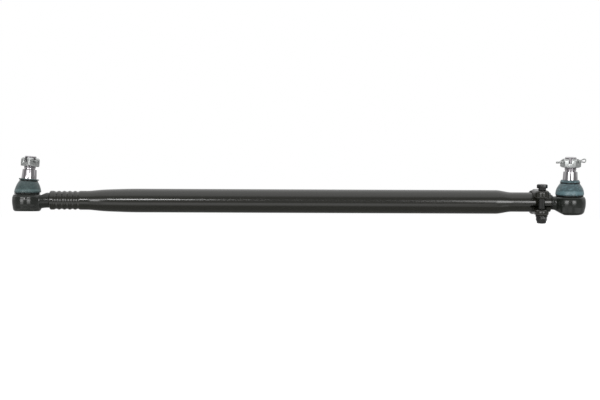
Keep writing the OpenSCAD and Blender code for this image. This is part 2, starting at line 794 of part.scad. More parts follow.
// Outline of a boot's section as [r, z] points, up the outside and down the inside
function boot_outline(side) =
    let (
        lip_z = shoulder_h(side) + soft_clearance,
        grip_r = spigot_r(side) + soft_clearance,
        shoulder_z = pick(side, left_boot_shoulder, right_boot_shoulder),
        shoulder_r = boot_r(side),
        neck_z = upper_ring_z(side),
        top_r = boot_top_r(side),
        top_z = neck_z - ring_wire_d / 2 - soft_clearance,
        bulge = pick(side, left_bulge, right_bulge),
        groove_z = ring_z(side),
        groove_r = foot_groove_r(side),
        ring_half = ring_wire_d / 2,
        collar_z = neck_z + ring_wire_d / 2 + soft_clearance,
        collar_r = pick(side, left_collar_d, right_collar_d) / 2,
        collar_top = collar_z + pick(side, left_collar_h, right_collar_h),
        collar_top_r = collar_r - pick(side, 0.3, 2.4),
        bore_r = stud_d / 2 + soft_clearance,
        steps = 7
    )
    concat(
        [[grip_r, lip_z], [groove_r, lip_z]],
        [[groove_r, groove_z + ring_half + soft_clearance]],
        [[shoulder_r - 0.5, groove_z + ring_half + 2 * soft_clearance]],
        [
            for (i = [0:steps])
                let (t = i / steps)
                [
                    shoulder_r + (top_r - shoulder_r) * t + bulge * sin(180 * t),
                    shoulder_z + (top_z - shoulder_z) * t
                ]
        ],
        [[upper_groove_r(side), top_z], [upper_groove_r(side), collar_z]],
        [[collar_r, collar_z], [collar_top_r, collar_top], [bore_r + 0.5, collar_top]],
        [[bore_r, collar_top - 0.5], [bore_r, top_z - 0.7]],
        [
            for (i = [1:steps - 1])
                let (t = 1 - i / steps)
                [
                    shoulder_r - boot_wall + (top_r - shoulder_r) * t + bulge * sin(180 * t),
                    shoulder_z + (top_z - shoulder_z) * t
                ]
        ],
        [[grip_r, spigot_top(side) + soft_clearance]]
    );

// Share of the stud's lean that a boot has at height z
boot_lean_run = 4;
function lean_share(side, z) =
    let (t = (z - spigot_top(side)) / boot_lean_run)
    t < 0 ? 0 : t > 1 ? 1 : t * t * (3 - 2 * t);

// Point of a boot at angle turn, on the ring through outline point p
function boot_point(side, p, turn) =
    let (
        x = p[0] * cos(turn),
        tip = lean(side) * lean_share(side, p[1])
    )
    [
        x * cos(tip) + p[1] * sin(tip),
        p[0] * sin(turn),
        p[1] * cos(tip) - x * sin(tip)
    ];

boot_turns = 36;

module boot(side) {
    outline = boot_outline(side);
    n = len(outline);
    points = [
        for (k = [0:boot_turns - 1], p = outline) boot_point(side, p, 360 * k / boot_turns)
    ];
    faces = [
        for (k = [0:boot_turns - 1], i = [0:n - 1])
            let (
                here = k * n,
                beside = ((k + 1) % boot_turns) * n,
                next = (i + 1) % n
            )
            each [
                [here + i, here + next, beside + next],
                [here + i, beside + next, beside + i]
            ]
    ];
    color(pick(side, [0.3, 0.37, 0.37], [0.36, 0.45, 0.48])) at_joint(side)
        polyhedron(points = points, faces = faces);
}

module boot_lower_ring(side) {
    color([0.12, 0.13, 0.13]) at_joint(side) translate([0, 0, ring_z(side)])
        rotate_extrude() translate([ring_r(side), 0]) circle(r = ring_wire_d / 2, $fn = 24);
}

module boot_upper_ring(side) {
    color([0.12, 0.13, 0.13]) at_joint(side) leaning(side) translate([0, 0, upper_ring_z(side)])
        rotate_extrude() translate([upper_ring_r(side), 0])
            circle(r = ring_wire_d / 2, $fn = 24);
}

tube();
clamp_band();
clamp_bolt();
clamp_washer();
clamp_nut();
housing("left");  // left_housing
ball_stud("left");  // left_ball_stud
upper_seat("left");  // left_upper_seat
lower_seat("left");  // left_lower_seat
preload_spring("left");  // left_preload_spring
left_end_cover();
boot("left");  // left_boot
boot_lower_ring("left");  // left_boot_lower_ring
boot_upper_ring("left");  // left_boot_upper_ring
castle_nut("left");  // left_castle_nut
split_pin("left");  // left_split_pin
housing("right");  // right_housing
ball_stud("right");  // right_ball_stud
upper_seat("right");  // right_upper_seat
lower_seat("right");  // right_lower_seat
preload_spring("right");  // right_preload_spring
right_closing_ring();
boot("right");  // right_boot
boot_lower_ring("right");  // right_boot_lower_ring
boot_upper_ring("right");  // right_boot_upper_ring
castle_nut("right");  // right_castle_nut
split_pin("right");  // right_split_pin
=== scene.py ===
"""Looks of a heavy-vehicle tie rod with two ball joints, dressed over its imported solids."""

import math

import bmesh
import bpy
from mathutils import Matrix, Vector


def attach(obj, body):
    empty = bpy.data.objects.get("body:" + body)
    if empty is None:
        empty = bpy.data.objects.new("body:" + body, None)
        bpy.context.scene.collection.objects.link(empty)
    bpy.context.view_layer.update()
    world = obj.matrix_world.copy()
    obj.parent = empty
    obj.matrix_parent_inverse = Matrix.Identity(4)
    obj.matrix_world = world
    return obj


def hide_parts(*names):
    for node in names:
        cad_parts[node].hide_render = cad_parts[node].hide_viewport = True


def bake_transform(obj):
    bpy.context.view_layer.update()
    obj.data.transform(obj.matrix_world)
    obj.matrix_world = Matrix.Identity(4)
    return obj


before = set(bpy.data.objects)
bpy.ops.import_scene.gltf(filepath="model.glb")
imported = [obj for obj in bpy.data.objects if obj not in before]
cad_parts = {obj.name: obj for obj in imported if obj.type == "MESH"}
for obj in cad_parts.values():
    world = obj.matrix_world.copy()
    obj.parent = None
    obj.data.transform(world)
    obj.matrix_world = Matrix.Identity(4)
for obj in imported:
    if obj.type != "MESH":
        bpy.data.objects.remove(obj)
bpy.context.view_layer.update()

bl_info = {
    "name": "Tie rod looks",
    "version": (1, 0, 0),
    "blender": (4, 5, 0),
    "location": "3D View > Sidebar > Tie rod",
    "description": "Dresses the solids of a tie rod with smooth pieces, threads and finishes",
    "category": "Object",
}

MM = 0.001
DEGREES = 180 / math.pi
SIDES = ("left", "right")

# Where each ball joint lies: its shank points along +X in its own frame, and its stud along +Z
BALL_SPACING = 1.1
RIGHT_TURN = math.radians(5)
JOINT_PLACE = {
    "left": Matrix.Identity(4),
    "right": Matrix.Translation((BALL_SPACING, 0, 0))
    @ Matrix.Rotation(RIGHT_TURN, 4, "X")
    @ Matrix.Rotation(math.pi, 4, "Z"),
}
STUD_LEAN = {"left": math.radians(4.5), "right": math.radians(-0.5)}
ALONG_ROD = Matrix.Rotation(math.pi / 2, 4, "Y")

# The tube, in millimetres along the rod from the left ball
TUBE_START = 46.7
GROOVES_START = 53.85
GROOVE_PITCH = 10.9
GROOVE_COUNT = 5
GROOVE_DEPTH = 1.8
GROOVE_MARGIN = 0.5
ROWS_PER_GROOVE = 16
PLAIN_NECK_END = 126.9
LEFT_SWAGE_END = 154.9
LEFT_RUNOUT_END = 210.9
RIGHT_SWAGE_START = 954.5
CLAMPED_NECK_START = 977.5
TUBE_END = 1060.5
TUBE_RADIUS = 24.0
TUBE_WALL = 5.0
ROLLED_NECK_RADIUS = 19.25
CLAMPED_NECK_RADIUS = 19.75
FIXED_SHANK_BORE = 14.05
SCREW_BORE = 15.05
LEFT_RUNOUT_DEPTH = 1.9
SLOT_WIDTH = 4.0
SLOT_LENGTH = 43.0
SLOT_ANGLE = 27.0
CUTTER_OVERRUN = 10.0
CUTTER_HEIGHT = 40.0

# The adjustable shank, in millimetres from the right ball
SHANK_START = 36.0
SHANK_END = 117.5
SHANK_RADIUS = 15.0
SHANK_PITCH = 1.5
ROWS_PER_TURN = 8

# The studs, in millimetres above the balls
BALL_RADIUS = 17.5
BALL_FLAT = 15.6
STUD_NECK_RADIUS = 11.5
STUD_RADIUS = 15.0
TAPER_START = 46.0
TAPER_END = 62.0
TAPER_END_RADIUS = 14.0
THREAD_START = 66.0
THREAD_RADIUS = 12.0
THREAD_RELIEF = 1.1
FLARE_RADIUS = 5.0
FLARE_HEIGHT = 25.0
SHOULDER_HEIGHT = 33.0
STUD_TOP = {"left": 89.6, "right": 91.6}

# The boots and their rings, in millimetres above the balls
BOOT = {
    "left": {
        "lip": 12.3, "grip": 22.0, "foot": 23.6, "ring": 13.4, "ring_radius": 24.9,
        "shoulder": 18.4, "shoulder_radius": 26.6, "bulge": 1.2, "neck": 39.8,
        "top_radius": 18.7, "collar": 2.4, "collar_radius": 20.1, "collar_top_radius": 19.8,
        "spigot": 15.4,
    },
    "right": {
        "lip": 12.6, "grip": 24.1, "foot": 25.7, "ring": 13.7, "ring_radius": 27.0,
        "shoulder": 16.2, "shoulder_radius": 28.7, "bulge": 2.3, "neck": 39.4,
        "top_radius": 19.8, "collar": 4.6, "collar_radius": 20.3, "collar_top_radius": 17.9,
        "spigot": 15.7,
    },
}
BOOT_WALL = 2.2
BOOT_BORE = 15.3
BOOT_STEPS = 24
BOOT_LEAN_RUN = 4.0
WIRE_RADIUS = 1.0
RING_CLEARANCE = 0.3
UPPER_RING_SINK = 0.9

# The forgings' skins, in millimetres, and how many rounds smooth them
HOUSING_RADIUS = {"left": 30.5, "right": 33.0}
WALL_DEPTH = 3.5
WALL_DRAFT = 0.1
WALL_EASE = 2.5
DRAFT_START = -1.0
WALL_FRONT = (23, 17)
WALL_FOOT = (-11, -8)
WALL_TOP = (7.2, 5)
CUP_CORE = 24.5
NECK_REACH = (20, 33)
NECK_HALF_WIDTH = 24
NECK_FLOOR = -21
NECK_ROUNDS = 14
HOUSING_ROUNDS = 7
CLAMP_SKIN_SIZE = 0.55
CLAMP_ROUNDS = 4
COVER_EDGE = 0.3

# Angle in degrees above which a machined edge is broken
BROKEN_ABOVE = 32.0

# Angles in degrees above which an edge stays sharp
SHARP = {
    "tube": 38, "forged": 60, "machined": 34, "threaded": 40, "pin": 50, "rubber": 45, "wire": 60,
}

# The studio's windows as seen from the rod, in degrees: middle, half width, low, high, brightness
STUDIO_WINDOWS = (
    (-28, 14, 9, 16, 0.25), (21, 13.5, 9, 16, 0.25),
    (-29, 13, 4, 9, 1.0), (21, 13.5, 4, 9, 1.0),
    (-31, 12, -4, 4, 1.0), (22, 11.5, -4, 4, 1.0),
    (-31, 12, -11, -4, 0.4), (22, 12, -11, -4, 0.4),
    (-9.5, 4, 7, 14, 2.2),
    (-31, 12, -40, -11, 0.12), (22, 12, -40, -11, 0.08),
    (-104, 6, 2, 10, 0.14), (98, 6, 2, 10, 0.14),
)

# The room's brightness from straight below (0) to straight above (1), before and behind the rod
FRONT_OF_ROOM = (
    (0.0, 0.2), (0.11, 0.22), (0.19, 0.85), (0.32, 0.95), (0.345, 0.32), (0.5, 0.28),
    (0.75, 0.26), (0.82, 0.36), (0.9, 0.9), (1.0, 1.05),
)
BACK_OF_ROOM = (
    (0.0, 0.2), (0.18, 0.22), (0.35, 0.5), (0.5, 0.4), (0.65, 0.7), (0.75, 0.9), (0.9, 1.15),
    (1.0, 1.05),
)
FLOOR_HALF_SIZE = 30
FLOOR_GLOW = 0.45
CAMERA_PLACE = (0.5534, -2.536, 0.0024)
CAMERA_ROLL = math.radians(0.23)


class Wire:
    """An output of a node that Python's operators can work on."""

    def __init__(self, sheet, socket):
        self.sheet = sheet
        self.socket = socket

    def worked(self, operation, first, second=0.0):
        """The result of a Math node on one or two values."""
        return self.sheet.add("ShaderNodeMath", {"operation": operation}, {0: first, 1: second})

    def __add__(self, other):
        return self.worked("ADD", self, other)

    def __radd__(self, other):
        return self.worked("ADD", other, self)

    def __sub__(self, other):
        return self.worked("SUBTRACT", self, other)

    def __rsub__(self, other):
        return self.worked("SUBTRACT", other, self)

    def __mul__(self, other):
        return self.worked("MULTIPLY", self, other)

    def __rmul__(self, other):
        return self.worked("MULTIPLY", other, self)

    def __truediv__(self, other):
        return self.worked("DIVIDE", self, other)

    def __rtruediv__(self, other):
        return self.worked("DIVIDE", other, self)

    def __gt__(self, other):
        return self.worked("GREATER_THAN", self, other)

    def __lt__(self, other):
        return self.worked("LESS_THAN", self, other)

    def limited(self):
        """The value held between nought and one."""
        return self.sheet.add("ShaderNodeClamp", {}, {0: self})


class Sheet:
    """A node tree that is filled from Python expressions."""

    def __init__(self, tree):
        self.tree = tree

    def add(self, kind, settings=None, sockets=None, output=0):
        """Adds a node: its settings first, then its sockets' values or links."""
        node = self.tree.nodes.new(kind)
        node.location = (200 * (len(self.tree.nodes) % 12), -220 * (len(self.tree.nodes) // 12))
        for key, value in (settings or {}).items():
            if key == "stops":
                self.set_stops(node.color_ramp, value)
            else:
                setattr(node, key, value)
        for key, value in (sockets or {}).items():
            if isinstance(value, Wire):
                self.tree.links.new(value.socket, node.inputs[key])
            else:
                node.inputs[key].default_value = value
        if not node.outputs:
            return None
        return Wire(self, node.outputs[output])

    def set_stops(self, ramp, stops):
        while len(ramp.elements) > 1:
            ramp.elements.remove(ramp.elements[-1])
        ramp.elements[0].position = stops[0][0]
        ramp.elements[0].color = stops[0][1]
        for place, colour in stops[1:]:
            ramp.elements.new(place).color = colour

    def parts(self, vector):
        """The three parts of a vector."""
        first = self.add("ShaderNodeSeparateXYZ", {}, {0: vector})
        return [Wire(self, socket) for socket in first.socket.node.outputs]

    def mixed(self, share, first, second):
        """The first colour, with the second one in by a share."""
        return self.add(
            "ShaderNodeMix", {"data_type": "RGBA"}, {0: share, 6: first, 7: second}, 2
        )


# Materials


def new_material(name):
    """An empty material, its sheet and the place on the piece that patterns follow."""
    made = bpy.data.materials.new(name)
    made.use_nodes = True
    made.node_tree.nodes.clear()
    sheet = Sheet(made.node_tree)
    return made, sheet, sheet.add("ShaderNodeTexCoord", output="Object")


def show_surface(sheet, base, roughness, normal=None, **fixed):
    """Ends a material with its shader; the fixed values are named as its sockets are."""
    sockets = {"Base Color": base, "Roughness": roughness}
    if normal is not None:
        sockets["Normal"] = normal
    sockets.update({key.replace("_", " "): value for key, value in fixed.items()})
    shader = sheet.add("ShaderNodeBsdfPrincipled", {}, sockets)
    sheet.add("ShaderNodeOutputMaterial", {}, {"Surface": shader})


def noise(sheet, place, scale, detail=3.0, roughness=0.5):
    return sheet.add(
        "ShaderNodeTexNoise", {},
        {"Vector": place, "Scale": scale, "Detail": detail, "Roughness": roughness},
    )


def bumped(sheet, height, distance, strength=1.0):
    return sheet.add(
        "ShaderNodeBump", {},
        {"Height": height, "Distance": distance, "Strength": strength}, "Normal",
    )


def within(sheet, value, middle, half_width, edge=0.6):
    """One where a value is within a half width of the middle, with a soft edge."""
    away = sheet.add("ShaderNodeMath", {"operation": "ABSOLUTE"}, {0: value - middle})
    return ((half_width - away) / edge + 0.5).limited()


def painted(name, colour, dull_colour, gloss, shine, grain_scale, grain_depth):
    """Black paint over steel: an even coat with a faint peel and a little dullness in patches."""
    made, sheet, place = new_material(name)
    patches = noise(sheet, place, 38.0, 4.0, 0.6)
    peel = noise(sheet, place, 620.0, 2.0)
    grain = noise(sheet, place, grain_scale, 4.0, 0.55)
    base = sheet.mixed(patches, colour, dull_colour)
    roughness = gloss + patches * 0.07
    height = peel * 0.12 + grain
    show_surface(
        sheet, base, roughness, bumped(sheet, height, grain_depth),
        Metallic=0.0, IOR=1.5, Specular_IOR_Level=shine,
    )
    return made


def rubber(name, colour, talc_and_sheen_colour, fold, fold_width, speckle):
    """Moulded rubber with a faint bloom, light specks of talc and a painted highlight: a lighter
    band round the fold.
    """
    made, sheet, place = new_material(name)
    height_above = sheet.parts(place)[2]
    bloom = noise(sheet, place, 55.0, 5.0, 0.65)
    specks = noise(sheet, place, 290.0, 1.0)
    grain = noise(sheet, place, 1500.0, 2.0)
    dusty = ((specks - 0.55) * 14.0).limited() * speckle
    # Painted highlight: a lighter band round the boot at the fold's height, where the lamps' shine
    # falls; the lighter colour also serves the bloom and the talc specks
    painted_sheen_band = within(sheet, height_above, fold * MM, fold_width * MM, 1.8 * MM) * 0.8
    share = (((bloom - 0.38) * 2.0).limited() * 0.2 + painted_sheen_band + dusty).limited()
    base = sheet.mixed(share, colour, talc_and_sheen_colour)
    roughness = 0.24 + bloom * 0.12
    height = grain * 0.5 + bloom * 0.6
    show_surface(sheet, base, roughness, bumped(sheet, height, 0.00006), Metallic=0.0, IOR=1.5)
    return made


def turned_steel(name, colour, dark_colour, turn):
    """Ground steel with fine lines round the stud, whose lean the pattern follows."""
    made, sheet, place = new_material(name)
    lines_place = sheet.add(
        "ShaderNodeMapping", {},
        {"Vector": place, "Rotation": (0, -turn, 0), "Scale": (25, 25, 2600)},
    )
    lines = noise(sheet, lines_place, 1.0, 3.0, 0.6)
    clouds = noise(sheet, place, 90.0, 3.0)
    base = sheet.mixed(lines * 0.6 + clouds * 0.4, dark_colour, colour)
    roughness = 0.035 + lines * 0.04
    show_surface(sheet, base, roughness, bumped(sheet, lines, 0.0000005), Metallic=1.0)
    return made


def plated(name, colour, dull_colour):
    """Zinc plating: bright and a little cloudy, with a fine crystalline grain."""
    made, sheet, place = new_material(name)
    clouds = noise(sheet, place, 160.0, 4.0, 0.6)
    crystals = sheet.add(
        "ShaderNodeTexVoronoi", {}, {"Vector": place, "Scale": 1400.0}, "Distance"
    )
    base = sheet.mixed(clouds, colour, dull_colour)
    roughness = 0.34 + clouds * 0.14
    show_surface(sheet, base, roughness, bumped(sheet, crystals, 0.000006), Metallic=1.0)
    return made


def blackened(name, colour, worn_colour):
    """Dark oil-finished steel of bolts and wire."""
    made, sheet, place = new_material(name)
    clouds = noise(sheet, place, 130.0, 4.0, 0.6)
    grain = noise(sheet, place, 1700.0, 2.0)
    base = sheet.mixed(clouds, colour, worn_colour)
    roughness = 0.14 + clouds * 0.16
    show_surface(sheet, base, roughness, bumped(sheet, grain, 0.00005), Metallic=0.25, IOR=1.6)
    return made


def moulded(name, colour, shade_colour):
    """Pale bearing plastic with a faint flow pattern."""
    made, sheet, place = new_material(name)
    flow = noise(sheet, place, 120.0, 3.0)
    grain = noise(sheet, place, 2200.0, 1.0)
    base = sheet.mixed(flow, colour, shade_colour)
    show_surface(sheet, base, 0.4 + flow * 0.1, bumped(sheet, grain, 0.00002), Metallic=0.0)
    return made


def finish_of(name):
    """The finished material of a name, made from the scene's settings the first time."""
    known = bpy.data.materials.get(name)
    if known:
        return known
    finishes = bpy.context.scene.tie_rod_finishes
    paint, forging, steel = finishes.paint, finishes.forging, finishes.stud_steel
    zinc, bolt = finishes.zinc, finishes.bolt
    left, right = finishes.left_boot, finishes.right_boot
    recipes = {
        "tube_paint": (
            painted, paint, lighter(paint, 1.25), finishes.paint_roughness, 0.8, 150.0, 0.00003,
        ),
        "housing_paint": (painted, forging, lighter(forging, 1.3), 0.15, 0.55, 110.0, 0.00002),
        # For the rubbers, after their colours: the height and half width in millimetres of the
        # painted highlight band round the fold, then the share of talc specks
        "left_rubber": (rubber, left, lighter(left, 2.0), 19.6, 2.2, 0.3),
        "right_rubber": (rubber, right, lighter(right, 2.2), 18.4, 3.0, 1.0),
        "left_stud_steel": (turned_steel, steel, lighter(steel, 0.72), STUD_LEAN["left"]),
        "right_stud_steel": (turned_steel, steel, lighter(steel, 0.72), STUD_LEAN["right"]),
        "zinc_plate": (plated, zinc, lighter(zinc, 0.8)),
        "black_steel": (blackened, bolt, lighter(bolt, 1.6)),
        "seat_plastic": (moulded, (0.8, 0.78, 0.72, 1), (0.72, 0.7, 0.63, 1)),
        "sprung_steel": (turned_steel, (0.42, 0.42, 0.44, 1), (0.25, 0.25, 0.26, 1), 0.0),
    }
    if name not in recipes:
        raise ValueError("There is no finish named " + name)
    maker, colour, *rest = recipes[name]
    return maker(name, tuple(colour), *rest)


def lighter(colour, factor):
    return tuple(min(1.0, part * factor) for part in tuple(colour)[:3]) + (1.0,)


# Meshes


def outward(mesh):
    """Turns all faces of a closed mesh outwards."""
    work = bmesh.new()
    work.from_mesh(mesh)
    bmesh.ops.recalc_face_normals(work, faces=work.faces)
    work.to_mesh(mesh)
    work.free()


def soften(mesh, angle):
    """Smooth shading with sharp edges above an angle."""
    mesh.polygons.foreach_set("use_smooth", [True] * len(mesh.polygons))
    mesh.set_sharp_from_angle(angle=math.radians(angle))


def eased(corners, steps=4):
    """An outline of (radius, height, easing) corners, each easing replaced by a small curve."""
    outline = []
    for index, corner in enumerate(corners):
        point = Vector(corner[:2])
        easing = corner[2] if len(corner) > 2 else 0
        if not easing or index in (0, len(corners) - 1):
            outline.append(tuple(point))
            continue
        before = Vector(corners[index - 1][:2]) - point
        after = Vector(corners[index + 1][:2]) - point
        first = point + before.normalized() * min(easing, before.length * 0.45)
        last = point + after.normalized() * min(easing, after.length * 0.45)
        for step in range(steps + 1):
            t = step / steps
            outline.append(tuple(first * (1 - t) ** 2 + point * 2 * t * (1 - t) + last * t * t))
    return outline


def arc(centre, radius, start, end, steps):
    """Points on an arc, with angles in degrees."""
    return [
        (
            centre[0] + radius * math.cos(math.radians(start + (end - start) * i / steps)),
            centre[1] + radius * math.sin(math.radians(start + (end - start) * i / steps)),
        )
        for i in range(steps + 1)
    ]


def in_rows(outline, start, end, pitch):
    """The outline with extra rows between two heights, as a thread or groove needs."""
    rows = []
    for first, last in zip(outline, outline[1:]):
        rows.append(first)
        low, high = sorted((first[1], last[1]))
        if high <= start or low >= end or high - low <= pitch:
            continue
        count = math.ceil((high - low) / pitch)
        for i in range(1, count):
            t = i / count
            height = first[1] + (last[1] - first[1]) * t
            if start <= height <= end:
                rows.append((first[0] + (last[0] - first[0]) * t, height))
    rows.append(outline[-1])
    return rows


def turned(name, outline, turns=96):
    """A closed mesh turned about Z from (radius, height) points in millimetres."""
    points, faces, rings = [], [], []
    for radius, height in outline:
        count = 1 if radius < 1e-6 else turns
        rings.append(range(len(points), len(points) + count))
        for k in range(count):
            angle = 2 * math.pi * k / turns
            points.append(
                (radius * MM * math.cos(angle), radius * MM * math.sin(angle), height * MM)
            )
    pairs = list(zip(rings, rings[1:]))
    if len(rings[0]) > 1:
        pairs.append((rings[-1], rings[0]))
    for low, high in pairs:
        for k in range(turns):
            beside = (k + 1) % turns
            if len(low) > 1 and len(high) > 1:
                faces.append((low[k], low[beside], high[beside], high[k]))
            elif len(low) > 1:
                faces.append((low[k], low[beside], high[0]))
            elif len(high) > 1:
                faces.append((low[0], high[beside], high[k]))
    mesh = bpy.data.meshes.new(name)
    mesh.from_pydata(points, [], faces)
    outward(mesh)
    return mesh


def new_object(name, mesh):
    made = bpy.data.objects.new(name, mesh)
    bpy.context.scene.collection.objects.link(made)
    return made


def baked(source):
    """The mesh of an object with its modifiers worked in; the object itself is removed."""
    bpy.context.view_layer.update()
    graph = bpy.context.evaluated_depsgraph_get()
    mesh = bpy.data.meshes.new_from_object(source.evaluated_get(graph), depsgraph=graph)
    name = source.name
    bpy.data.objects.remove(source)
    mesh.name = name
    return mesh


def merged_copy(node, name, flat_angle=0.0):
    """A joined-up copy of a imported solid's mesh, its flat faces made whole again."""
    work = bmesh.new()
    work.from_mesh(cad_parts[node].data)
    bmesh.ops.remove_doubles(work, verts=work.verts, dist=2e-6)
    if flat_angle:
        bmesh.ops.dissolve_limit(
            work, angle_limit=math.radians(flat_angle), verts=work.verts, edges=work.edges
        )
    mesh = bpy.data.meshes.new(name)
    work.to_mesh(mesh)
    work.free()
    return mesh


def edged(name, mesh, width):
    """The mesh with its sharp edges broken, as machined edges are."""
    source = new_object(name, mesh)
    bevel = source.modifiers.new("Broken edges", "BEVEL")
    bevel.width = width * MM
    bevel.segments = 2
    bevel.limit_method = "ANGLE"
    bevel.angle_limit = math.radians(BROKEN_ABOVE)
    bevel.use_clamp_overlap = True
    bevel.miter_outer = "MITER_ARC"
    return baked(source)


def machined(node, width):
    """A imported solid's mesh with flat faces and broken edges, ready for its finish."""
    mesh = edged(node + "_skin", merged_copy(node, node + "_copy", 1.0), width)
    soften(mesh, SHARP["machined"])
    return mesh


def forged(name, mesh, voxel, rounds):
    """The mesh as a forging: one skin with all its edges softened."""
    source = new_object(name, mesh)
    skin = source.modifiers.new("One skin", "REMESH")
    skin.mode = "VOXEL"
    skin.voxel_size = voxel * MM
    relax = source.modifiers.new("Softened edges", "SMOOTH")
    relax.factor = 0.5
    relax.iterations = rounds
    return baked(source)


def piece(name, mesh, body, finish, slot, *nodes):
    """A finished piece that rides on a body and stands for its solids."""
    mesh.materials.clear()
    mesh.materials.append(finish_of(finish))
    made = new_object(name, mesh)
    if body:
        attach(made, body)
    if nodes:
        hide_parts(*nodes)
    return made


def coat(node, finish):
    """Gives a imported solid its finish."""
    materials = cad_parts[node].data.materials
    materials.clear()
    materials.append(finish_of(finish))


# Rules as node groups


def start_tree(name, sizes):
    """An empty node group with a mesh, its named sizes and a material as inputs."""
    tree = bpy.data.node_groups.new(name, "GeometryNodeTree")
    face = tree.interface
    face.new_socket(name="Geometry", in_out="INPUT", socket_type="NodeSocketGeometry")
    for size, start in sizes.items():
        socket = face.new_socket(name=size, in_out="INPUT", socket_type="NodeSocketFloat")
        socket.default_value = start
    face.new_socket(name="Material", in_out="INPUT", socket_type="NodeSocketMaterial")
    face.new_socket(name="Geometry", in_out="OUTPUT", socket_type="NodeSocketGeometry")
    sheet = Sheet(tree)
    entry = tree.nodes.new("NodeGroupInput")
    given = {socket.name: Wire(sheet, socket) for socket in entry.outputs if socket.name}
    return sheet, given


def end_tree(sheet, geometry, given):
    """Ends a node group with real geometry in its material."""
    real = sheet.add("GeometryNodeRealizeInstances", {}, {"Geometry": geometry})
    coated = sheet.add(
        "GeometryNodeSetMaterial", {}, {"Geometry": real, "Material": given["Material"]}
    )
    sheet.add("NodeGroupOutput", {}, {"Geometry": coated})


def sunk_by(sheet, given, share):
    """Moves a turned mesh towards its axis by a share of the depth."""
    x, y, _ = sheet.parts(sheet.add("GeometryNodeInputPosition"))
    squared = x * x + y * y
    distance = squared.worked("SQRT", squared)
    inward = given["Depth"] * share * -1.0 / distance
    offset = sheet.add("ShaderNodeCombineXYZ", {}, {0: x * inward, 1: y * inward})
    return sheet.add(
        "GeometryNodeSetPosition", {}, {"Geometry": given["Geometry"], "Offset": offset}
    )


def thread_tree():
    """Cuts a screw thread into a turned mesh between two heights."""
    known = bpy.data.node_groups.get("Screw thread")
    if known:
        return known
    sizes = {"Pitch": 0.0015, "Depth": 0.0009, "Start": 0.0, "End": 0.02, "Run-out": 0.0015}
    sheet, given = start_tree("Screw thread", sizes)
    x, y, z = sheet.parts(sheet.add("GeometryNodeInputPosition"))
    angle = x.worked("ARCTAN2", y, x)
    turns = z / given["Pitch"] - angle / (2 * math.pi)
    wave = turns.worked("PINGPONG", turns, 0.5) * 2.0
    fade_in = ((z - given["Start"]) / given["Run-out"]).limited()
    fade_out = ((given["End"] - z) / given["Run-out"]).limited()
    end_tree(sheet, sunk_by(sheet, given, wave * fade_in * fade_out), given)
    return sheet.tree


def grooves_tree():
    """Rolls a row of soft grooves into a turned mesh."""
    known = bpy.data.node_groups.get("Rolled grooves")
    if known:
        return known
    sizes = {"Start": 0.05, "Pitch": 0.0109, "Count": 5.0, "Depth": 0.002}
    sheet, given = start_tree("Rolled grooves", sizes)
    x, y, z = sheet.parts(sheet.add("GeometryNodeInputPosition"))
    steps = (z - given["Start"]) / given["Pitch"]
    inside = (steps > 0.0) * (steps < given["Count"])
    turn = steps * (2 * math.pi)
    share = (1.0 - turn.worked("COSINE", turn)) * 0.5 * inside
    end_tree(sheet, sunk_by(sheet, given, share), given)
    return sheet.tree


def ring_tree():
    """Bends a wire into a ring."""
    known = bpy.data.node_groups.get("Wire ring")
    if known:
        return known
    sheet, given = start_tree("Wire ring", {"Ring radius": 0.025, "Wire radius": 0.001})
    path = sheet.add(
        "GeometryNodeCurvePrimitiveCircle", {"mode": "RADIUS"},
        {"Resolution": 96, "Radius": given["Ring radius"]},
    )
    wire = sheet.add(
        "GeometryNodeCurvePrimitiveCircle", {"mode": "RADIUS"},
        {"Resolution": 16, "Radius": given["Wire radius"]},
    )
    ring = sheet.add(
        "GeometryNodeCurveToMesh", {}, {"Curve": path, "Profile Curve": wire}
    )
    end_tree(sheet, ring, given)
    return sheet.tree


def by_rule(name, mesh, tree, finish, **sizes):
    """The mesh that a node group makes from a starting mesh and its sizes."""
    source = new_object(name, mesh)
    rule = source.modifiers.new("Rule", "NODES")
    rule.node_group = tree
    for socket in tree.interface.items_tree:
        if socket.in_out != "INPUT":
            continue
        key = socket.name.replace(" ", "_").replace("-", "_").lower()
        if key in sizes:
            rule[socket.identifier] = sizes[key]
        elif socket.name == "Material":
            rule[socket.identifier] = finish_of(finish)
    return baked(source)


# Settings


class TieRodFinishes(bpy.types.PropertyGroup):
    """Colours and gloss of the tie rod"""

    paint: bpy.props.FloatVectorProperty(
        name="Tube paint", description="Colour of the paint on the tube and clamp",
        subtype="COLOR", size=4, min=0, max=1, default=(0.0145, 0.0147, 0.0108, 1),
    )
    paint_roughness: bpy.props.FloatProperty(
        name="Paint roughness", description="Roughness of the tube's paint where it is glossiest",
        subtype="FACTOR", min=0, max=1, default=0.1,
    )
    forging: bpy.props.FloatVectorProperty(
        name="Housing paint", description="Colour of the paint on the forged housings",
        subtype="COLOR", size=4, min=0, max=1, default=(0.0142, 0.0164, 0.0138, 1),
    )
    stud_steel: bpy.props.FloatVectorProperty(
        name="Stud steel", description="Colour of the ground studs",
        subtype="COLOR", size=4, min=0, max=1, default=(0.62, 0.6, 0.62, 1),
    )
    zinc: bpy.props.FloatVectorProperty(
        name="Zinc plating", description="Colour of the castle nuts and split pins",
        subtype="COLOR", size=4, min=0, max=1, default=(0.6, 0.62, 0.61, 1),
    )
    left_boot: bpy.props.FloatVectorProperty(
        name="Left boot", description="Colour of the left boot's rubber",
        subtype="COLOR", size=4, min=0, max=1, default=(0.06, 0.09, 0.091, 1),
    )
    right_boot: bpy.props.FloatVectorProperty(
        name="Right boot", description="Colour of the right boot's rubber",
        subtype="COLOR", size=4, min=0, max=1, default=(0.07, 0.114, 0.126, 1),
    )
    bolt: bpy.props.FloatVectorProperty(
        name="Bolt and wire", description="Colour of the clamp bolt and the wire rings",
        subtype="COLOR", size=4, min=0, max=1, default=(0.011, 0.0115, 0.0105, 1),
    )


